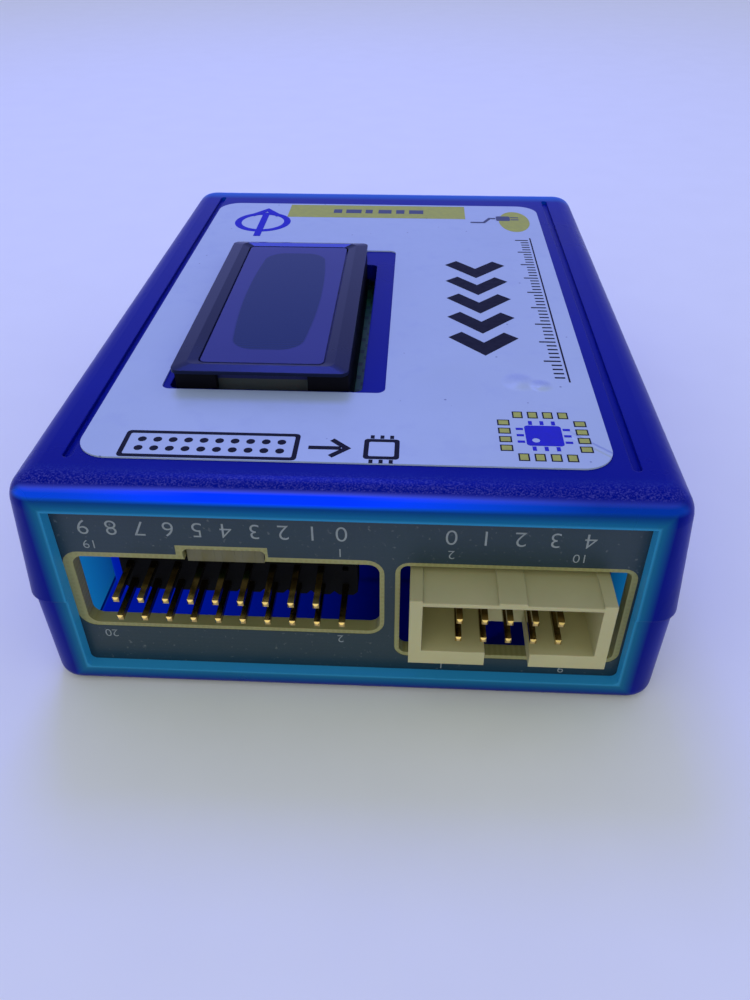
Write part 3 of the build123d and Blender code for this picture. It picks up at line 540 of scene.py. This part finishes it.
def tracked_board():
    """A populated board: green mask with copper tracks showing through it, and vias."""
    made, tree, shader = new_material("tracked_board", Coat_Weight=0.3, Coat_Roughness=0.25)
    inputs = {"Vector": place_of(tree), "Scale": 1 / (7 * MM), "Mortar Size": 0.06}
    inputs.update({"Color1": (0, 0, 0, 1), "Color2": (0, 0, 0, 1), "Mortar": (1, 1, 1, 1)})
    tracks = node(tree, "TexBrick", inputs, offset=0.37, squash=0.6).outputs["Color"]
    vias = remap(tree, cells(tree, 5 * MM), (0.08, 0.1), (1, 0))
    # the cut edges show bare laminate
    facing = node(tree, "SeparateXYZ", {0: node(tree, "NewGeometry").outputs["Normal"]}).outputs[2]
    cut = remap(tree, math_node(tree, "ABSOLUTE", facing), (0.4, 0.6), (1, 0))
    base = blend(tree, noise(tree, 6 * MM), (0.010, 0.055, 0.030, 1), (0.014, 0.08, 0.045, 1))
    base = blend(tree, tracks, base, (0.03, 0.16, 0.07, 1))
    base = blend(tree, vias, base, (0.55, 0.52, 0.42, 1))
    base = blend(tree, cut, base, (0.13, 0.12, 0.065, 1))
    height = math_node(tree, "ADD", node(tree, "RGBToBW", {0: tracks}).outputs[0], vias)
    drive(tree, shader, Base_Color=base, Roughness=gloss_between(tree, noise(tree, 2 * MM), 0.3, 0.45))
    drive(tree, shader, Normal=bump(tree, height, 0.03 * MM))
    return made


def viewing_area(tree):
    """1 inside the viewing area of the display, whose corners are rounded and sides bulge slightly."""
    x, y, _ = place_axes(tree)
    middle, half = VIEW_ALONG
    share = math_node(tree, "DIVIDE", math_node(tree, "SUBTRACT", y, middle * MM), half * MM)
    taper = product(tree, share, share, VIEW_TAPER * MM)
    side = math_node(tree, "ADD", offset_from(tree, x, VIEW_ACROSS[0]), taper)
    past = (beyond(tree, side, 0.0, VIEW_ACROSS[1]), beyond(tree, y, middle, half))
    squares = [math_node(tree, "MULTIPLY", value, value) for value in past]
    outside = math_node(tree, "SQRT", math_node(tree, "ADD", *squares))
    return ramp(tree, outside, (VIEW_CORNER + VIEW_EDGE, VIEW_CORNER))


def display_glass():
    """Tinted cover glass: violet round the edge, darker over the viewing area with its fine rows."""
    made, tree, shader = new_material(
        "display_glass", Transmission_Weight=0.25, IOR=1.3, Specular_Tint=(0.4, 0.5, 1.0, 1)
    )
    rows = node(tree, "TexWave", {"Vector": place_of(tree), "Scale": 1 / (1.4 * MM)}, bands_direction="Y")
    dark = blend(tree, rows.outputs["Fac"], (0.006, 0.022, 0.115, 1), (0.008, 0.026, 0.13, 1))
    light = blend(tree, noise(tree, 8 * MM), (0.034, 0.040, 0.22, 1), (0.044, 0.050, 0.26, 1))
    smears = remap(tree, noise(tree, 5 * MM, 4.0, (1, 0.35, 1)), (0.35, 0.75), (0.03, 0.09))
    rounded, _ = soft_edges(tree, 0.1 * MM)
    base = blend(tree, viewing_area(tree), light, dark)
    drive(tree, shader, Base_Color=base, Roughness=smears, Normal=rounded)
    return made


def gold_plate():
    """Gold plating, bright on the ends of the pins, with painted shade darkening them behind their tips."""
    made = surface(
        "gold_pin", (0.66, 0.47, 0.19), 0.2, mottle=0.06, mottle_size=2 * MM, edge=0.08 * MM, Metallic=1.0
    )
    tree, shader = made.node_tree, made.node_tree.nodes["Principled BSDF"]
    # painted shade: the pins turn dark behind their tips
    painted_shaft_shade = ramp(tree, place_axes(tree)[1], PIN_TIPS)
    base = blend(tree, painted_shaft_shade, feeding(shader, "Base Color"), (0.20, 0.14, 0.06, 1))
    drive(tree, shader, Base_Color=base)
    return made


def display_bezel():
    """Dark polished metal, duller where it is handled at the front."""
    made = surface(
        "bezel_metal",
        (0.003, 0.005, 0.020),
        0.12,
        mottle=0.15,
        grain_depth=0.001 * MM,
        edge=0.1 * MM,
        Specular_IOR_Level=0.33,
        Specular_Tint=(0.35, 0.42, 1.0, 1),
    )
    tree, shader = made.node_tree, made.node_tree.nodes["Principled BSDF"]
    dull = ramp(tree, place_axes(tree)[1], BEZEL_DULL, 0, 0.22)
    drive(tree, shader, Roughness=math_node(tree, "ADD", feeding(shader, "Roughness"), dull))
    return made


def ink(name, colour):
    """Printed ink, slightly uneven in colour and gloss."""
    made, tree, shader = new_material(name, Specular_IOR_Level=0.1)
    cloud = noise(tree, 0.8 * MM, 4.0)
    drive(tree, shader, Base_Color=mottled(tree, cloud, colour, 0.8, 1.2))
    drive(tree, shader, Roughness=gloss_between(tree, cloud, 0.5, 0.65), Normal=bump(tree, cloud, 0.004 * MM))
    return made


def make_materials():
    """The material of each slot in the record."""
    steel = dict(Metallic=1.0, stretch=(1, 1, 0.1))
    cloudy = dict(Subsurface_Weight=0.3, Subsurface_Scale=1 * MM)
    return {
        "case_blue": case_plastic(),
        "label_paper": label_vinyl(),
        "panel_board": bare_laminate(),
        "circuit_board": tracked_board(),
        "black_plastic": surface(
            "black_plastic",
            (0.003, 0.003, 0.005),
            0.6,
            worn=(0.012, 0.012, 0.016, 1),
            Specular_IOR_Level=0.06,
        ),
        "ivory_plastic": surface(
            "ivory_plastic",
            (0.44, 0.405, 0.225),
            0.45,
            mottle=0.08,
            grain_depth=0.008 * MM,
            worn=(0.55, 0.52, 0.36, 1),
            edge=0.18 * MM,
            Subsurface_Weight=0.12,
            Subsurface_Scale=0.8 * MM,
        ),
        "gold_pin": gold_plate(),
        "bezel_metal": display_bezel(),
        "display_glass": display_glass(),
        "frame_black": surface(
            "frame_black",
            (0.004, 0.004, 0.010),
            0.5,
            worn=(0.012, 0.012, 0.02, 1),
            Specular_IOR_Level=0.08,
        ),
        # the backlight's diffuser is white, but gets a dark grey here: painted shade for the shaded gap at
        # the display's front
        "backlight_white": surface("backlight_white", (0.05, 0.06, 0.09), 0.5, **cloudy),
        "nylon": surface("nylon", (0.7, 0.69, 0.62), 0.4, **cloudy),
        "screw_steel": surface("screw_steel", (0.52, 0.52, 0.54), 0.3, **steel),
        "tin_plate": surface("tin_plate", (0.62, 0.62, 0.60), 0.24, **steel),
        "chip_epoxy": surface("chip_epoxy", (0.02, 0.02, 0.023), 0.55, grain_depth=0.01 * MM),
        "can_aluminium": surface("can_aluminium", (0.72, 0.72, 0.74), 0.3, **steel),
        "ceramic_tan": surface("ceramic_tan", (0.34, 0.22, 0.12), 0.5),
    }


# ---- Flat pieces ------------------------------------------------------------------------------


def circle(x, y, radius, count=48):
    """The outline of a circle, in mm."""
    turns = [2 * math.pi * i / count for i in range(count)]
    return [(x + radius * math.cos(a), y + radius * math.sin(a)) for a in turns]


def box(left, right, low, high, radius=0.0, count=6):
    """The outline of a rectangle with rounded corners, in mm."""
    if not radius:
        return [(left, low), (right, low), (right, high), (left, high)]
    middles = ((right, high, 0), (left, high, 90), (left, low, 180), (right, low, 270))
    outline = []
    for x, y, start in middles:
        x += radius if x == left else -radius
        y += radius if y == low else -radius
        for i in range(count + 1):
            a = math.radians(start + 90 * i / count)
            outline.append((x + radius * math.cos(a), y + radius * math.sin(a)))
    return outline


def stroke(points, width):
    """The outline of a line of the given width through points, with mitred corners."""
    points = [Vector(p) for p in points]
    headings = [(b - a).normalized() for a, b in zip(points, points[1:])]
    left, right = [], []
    for point, before, after in zip(points, headings[:1] + headings, headings + headings[-1:]):
        side = (before.orthogonal() + after.orthogonal()) / (1 + before.dot(after))
        left.append(point + side * width / 2)
        right.append(point - side * width / 2)
    return [tuple(p) for p in left + right[::-1]]


def moved(outlines, x, y, turn=0.0):
    """Outlines turned by an angle in degrees, then shifted, in mm."""
    c, s = math.cos(math.radians(turn)), math.sin(math.radians(turn))
    return [[(x + c * u - s * v, y + s * u + c * v) for u, v in outline] for outline in outlines]


def on_label(layer=0):
    """Takes a drawing in x and y to the top face of the label, or onto a layer of print there."""
    height = LABEL_TOP + layer * PRINT_THICK
    return Matrix.Translation((0, 0, (height + PRINT_THICK / 2) * MM)) @ Matrix.Scale(MM, 4)


def on_panel(thick):
    """Takes a drawing in x and z to the outer face of the front panel."""
    out = Matrix.Translation((0, (PANEL_FACE - thick / 2) * MM, 0))
    return out @ Matrix.Rotation(math.pi / 2, 4, "X") @ Matrix.Scale(MM, 4)


def add_piece(name, data, place, material):
    """Turn a flat curve or text into a mesh piece in place on the object."""
    drawn = bpy.data.objects.new(name + "_drawing", data)
    bpy.context.scene.collection.objects.link(drawn)
    mesh = bpy.data.meshes.new_from_object(drawn.evaluated_get(bpy.context.evaluated_depsgraph_get()))
    bpy.data.objects.remove(drawn)
    mesh.transform(place)
    mesh.materials.clear()
    mesh.materials.append(material)
    piece = bpy.data.objects.new(name, mesh)
    bpy.context.scene.collection.objects.link(piece)
    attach(piece, "root")


def film(name, outlines, place, material, thick=PRINT_THICK):
    """A thin flat piece with closed outlines; an outline inside another one is a hole."""
    curve = bpy.data.curves.new(name, "CURVE")
    curve.dimensions = "2D"
    curve.fill_mode = "BOTH"
    curve.extrude = thick / 2
    for outline in outlines:
        spline = curve.splines.new("POLY")
        spline.points.add(len(outline) - 1)
        for point, (x, y) in zip(spline.points, outline):
            point.co = (x, y, 0, 1)
        spline.use_cyclic_u = True
    add_piece(name, curve, place, material)


def numerals(name, marks, height, place, material):
    """Numbers printed upside down, each given with its middle, in mm."""
    for index, (text, x, y) in enumerate(marks):
        words = bpy.data.curves.new(name, "FONT")
        words.body = text
        words.size = height / FIGURE_SHARE
        words.align_x = "CENTER"
        words.align_y = "CENTER"
        words.extrude = PRINT_THICK / 2
        words.offset = -0.015 * height  # thinner strokes
        turned = place @ Matrix.Translation((x, y, 0)) @ Matrix.Rotation(math.pi, 4, "Z")
        add_piece(f"{name}_{index}", words, turned, material)


# ---- Printed art on the label, in mm ----------------------------------------------------------


def add_chevrons(black):
    """Five bold chevrons down the right side."""
    marks = []
    for y in (-14.6, -8.7, -2.8, 3.1, 9.0):
        marks.append(stroke([(11.3, y + 2.2), (14.8, y - 1.6), (18.3, y + 2.2)], 2.3))
    film("chevrons", marks, on_label(), black)


def add_ruler(black):
    """A ruler along the right edge, with a longer tick every five."""
    right, start, half = 23.6, -24.0, 0.15
    marks = [box(23.9, 24.1, start, 22.0)]
    for i in range(1, 46):
        length = 2.0 if i % 5 == 0 else 1.2
        marks.append(box(right - length, right, start + i - half, start + i + half))
    film("ruler", marks, on_label(), black)


def round_chip(places, start, end, half):
    """Rectangles at places along each of the chip mark's four sides, from start to end outwards."""
    marks = []
    for turn in (0, 90, 180, 270):
        for along in places:
            marks += moved([box(along - half, along + half, start, end)], *CHIP_MARK, turn)
    return marks


def add_chip_mark(black, blue, yellow):
    """A chip with pads round it, in the corner."""
    chip = moved([box(-1.9, 1.9, -1.9, 1.9, 0.4), circle(-0.9, -0.9, 0.4)], *CHIP_MARK)
    film("chip_mark", chip, on_label(), blue)
    pad_places = (-2.4, -0.8, 0.8, 2.4)
    pads = round_chip(pad_places, 3.5, 4.5, 0.4)
    film("chip_pads", pads, on_label(), yellow)
    film("chip_pad_rims", round_chip(pad_places, 3.35, 4.65, 0.55) + pads, on_label(), black)
    film("chip_legs", round_chip((-1.2, 0.0, 1.2), 2.05, 2.8, 0.2), on_label(), blue)


def add_header_mark(black):
    """A header, an arrow and a chip near the front edge."""
    frame = [box(-23.3, -5.2, -40.9, -36.1, 0.5), box(-22.8, -5.7, -40.4, -36.6, 0.2)]
    dots = [circle(-21.4 + 1.6 * i, y, 0.45, 16) for i in range(10) for y in (-39.3, -37.7)]
    film("header_mark", frame + dots, on_label(), black)
    film("arrow_mark_shaft", [stroke([(-4.2, -38.5), (-0.9, -38.5)], 0.6)], on_label(), black)
    head = stroke([(-1.9, -40.0), (-0.3, -38.5), (-1.9, -37.0)], 0.6)
    film("arrow_mark_head", [head], on_label(), black)
    target = [box(1.4, 5.0, -40.3, -36.7, 0.4), box(1.9, 4.5, -39.8, -37.2, 0.2)]
    for x in (2.2, 3.2, 4.2):
        target += [box(x - 0.2, x + 0.2, -36.6, -36.0), box(x - 0.2, x + 0.2, -41.0, -40.4)]
    film("target_mark", target, on_label(), black)


def add_ring_mark(blue):
    """A ring with an arrow through it, at the back."""
    film("ring_mark", moved([circle(0, 0, 4.6), circle(0, 0, 3.5)], *RING_MARK), on_label(), blue)
    shaft = stroke([(0, -6.6), (0, 3.9)], 1.1)
    head = stroke([(-2.3, 3.0), (0, 5.9), (2.3, 3.0)], 1.1)
    for part, outline in (("shaft", shaft), ("head", head)):
        film(f"ring_arrow_{part}", moved([outline], *RING_MARK), on_label(1), blue)


def add_strip(yellow, grey):
    """A yellow strip with a row of dashes."""
    film("strip", [box(-15.6, 14.2, 30.6, 36.8)], on_label(), yellow)
    dashes = ((-8.0, 1.4), (-5.9, 2.6), (-2.6, 1.2), (-0.4, 2.2), (2.6, 1.4), (4.8, 2.4))  # left and width
    film("strip_dashes", [box(x, x + width, 32.8, 34.6) for x, width in dashes], on_label(1), grey)


def add_plug_mark(yellow, grey):
    """A plug on a yellow patch."""
    patch = [(22.2 + 2.5 * x, 29.6 + 4.8 * y) for x, y in circle(0, 0, 1)]
    film("plug_patch", [patch], on_label(), yellow)
    cord = stroke([(15.0, 29.0), (17.2, 29.0), (18.2, 31.0), (19.2, 31.0)], 0.5)
    body = box(19.3, 21.6, 29.9, 32.1, 0.4)
    blades = [box(21.7, 23.0, low, low + 0.4) for low in (30.3, 31.3)]
    film("plug_mark", [cord, body] + blades, on_label(1), grey)


def add_label_art():
    inks = {name: ink("ink_" + name, colour) for name, colour in INKS.items()}
    add_chevrons(inks["black"])
    add_ruler(inks["black"])
    add_chip_mark(inks["black"], inks["blue"], inks["yellow"])
    add_header_mark(inks["black"])
    add_ring_mark(inks["blue"])
    add_strip(inks["yellow"], inks["grey"])
    add_plug_mark(inks["yellow"], inks["grey"])


# ---- End panels -------------------------------------------------------------------------------


def panel_edge(name):
    """The outline of a panel's solder mask, just inside the panel's edge."""
    low, high = [[c / MM for c in corner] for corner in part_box(name)]
    inset = MASK_MARGIN
    return box(low[0] + inset, high[0] - inset, low[2] + inset, high[2] - inset)


def large_opening():
    """The outline of the large opening, with the key's bump in its upper edge."""
    left, right, low, high = KEY_OPENING
    key = [(right, low), (right, high), (left, high), (left, low)]
    large = box(*LARGE_OPENING, LARGE_RADIUS)
    # the key follows the rightmost point of the upper edge
    top = max(y for _, y in large)
    _, corner = max((x, i) for i, (x, y) in enumerate(large) if y == top)
    return large[: corner + 1] + key + large[corner + 1 :]


def socket_opening():
    """The outline round the USB socket, seen from behind: left and right change places."""
    low, high = [[c / MM for c in corner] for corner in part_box("usb_shell")]
    out = SOCKET_MARGIN
    return box(-high[0] - out, -low[0] + out, low[2] - out, high[2] + out, out)


def add_panels():
    """The dark solder mask with its openings, and the white numbers printed on it."""
    mask = solder_mask("panel_mask", MASK_COLOUR)
    front = [panel_edge("front_panel"), large_opening(), box(*SMALL_OPENING, SMALL_RADIUS)]
    film("front_panel_mask", front, on_panel(MASK_THICK), mask, MASK_THICK)
    turned = Matrix.Rotation(math.pi, 4, "Z") @ on_panel(MASK_THICK)
    rear = [panel_edge("rear_panel"), socket_opening()]
    film("rear_panel_mask", rear, turned, mask, MASK_THICK)

    white = ink("silk_white", SILK_WHITE)
    face = on_panel(2 * MASK_THICK + PRINT_THICK)
    columns = []
    for count, first, pitch in (LARGE_COLUMNS, SMALL_COLUMNS):
        columns += [(str(i), first + pitch * i, COLUMN_Z) for i in range(count)]
    numerals("column_number", columns, COLUMN_HEIGHT, face, white)
    numerals("pin_number", PIN_NUMBERS, PIN_HEIGHT, face, white)


# ---- Floor, light and camera ------------------------------------------------------------------


def add_floor():
    mesh = bpy.data.meshes.new("floor")
    corners = [(x * FLOOR_HALF, y * FLOOR_HALF, 0) for x, y in ((-1, -1), (1, -1), (1, 1), (-1, 1))]
    mesh.from_pydata(corners, [], [(0, 1, 2, 3)])
    floor = bpy.data.objects.new("floor", mesh)
    bpy.context.scene.collection.objects.link(floor)
    made, tree, shader = new_material("floor_matte")
    base = blend(tree, noise(tree, 12 * MM, 3.0), *FLOOR_COLOURS)
    drive(tree, shader, Base_Color=base, Roughness=gloss_between(tree, noise(tree, 3 * MM), 0.55, 0.7))
    mesh.materials.append(made)


def add_light(name, place, size, power, colour):
    """A square soft light that faces the case."""
    data = bpy.data.lights.new(name, "AREA")
    data.shape = "SQUARE"
    data.size = size
    data.energy = power
    data.color = colour
    light = bpy.data.objects.new(name, data)
    light.location = place
    light.rotation_euler = (Vector(LIGHT_TARGET) - Vector(place)).to_track_quat("-Z", "Y").to_euler()
    bpy.context.scene.collection.objects.link(light)


def add_sky():
    world = bpy.data.worlds.new("studio")
    world.use_nodes = True
    tree = world.node_tree
    direction = node(tree, "SeparateXYZ", {0: node(tree, "TexCoord").outputs["Generated"]}).outputs
    sky = blend(tree, remap(tree, direction[1], SKY_SPAN, (0, 1)), WARM_FRONT, VIOLET_BACK)
    tree.links.new(sky, tree.nodes["Background"].inputs["Color"])
    bpy.context.scene.world = world


def add_camera():
    data = bpy.data.cameras.new("camera")
    data.sensor_fit = "VERTICAL"
    data.sensor_height = SENSOR
    data.lens = LENS
    data.clip_start = NEAREST * MM
    camera = bpy.data.objects.new("camera", data)
    turn = Matrix.Identity(4)
    for axis, degrees in CAMERA_TURNS:
        turn = turn @ Matrix.Rotation(math.radians(degrees), 4, axis)
    camera.matrix_world = Matrix.Translation([c * MM for c in CAMERA_PLACE]) @ turn
    bpy.context.scene.collection.objects.link(camera)
    bpy.context.scene.camera = camera


# ---- The scene --------------------------------------------------------------------------------


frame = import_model()
materials = make_materials()
for part in frame["record"]["subparts"]:
    for slot in frame["nodes"][part["node"]].material_slots:
        slot.material = materials[part["material_slot"]]

add_label_art()
add_panels()
add_floor()
add_sky()
for light in LIGHTS:
    add_light(*light)
add_camera()
bpy.context.scene.view_settings.view_transform = "Standard"
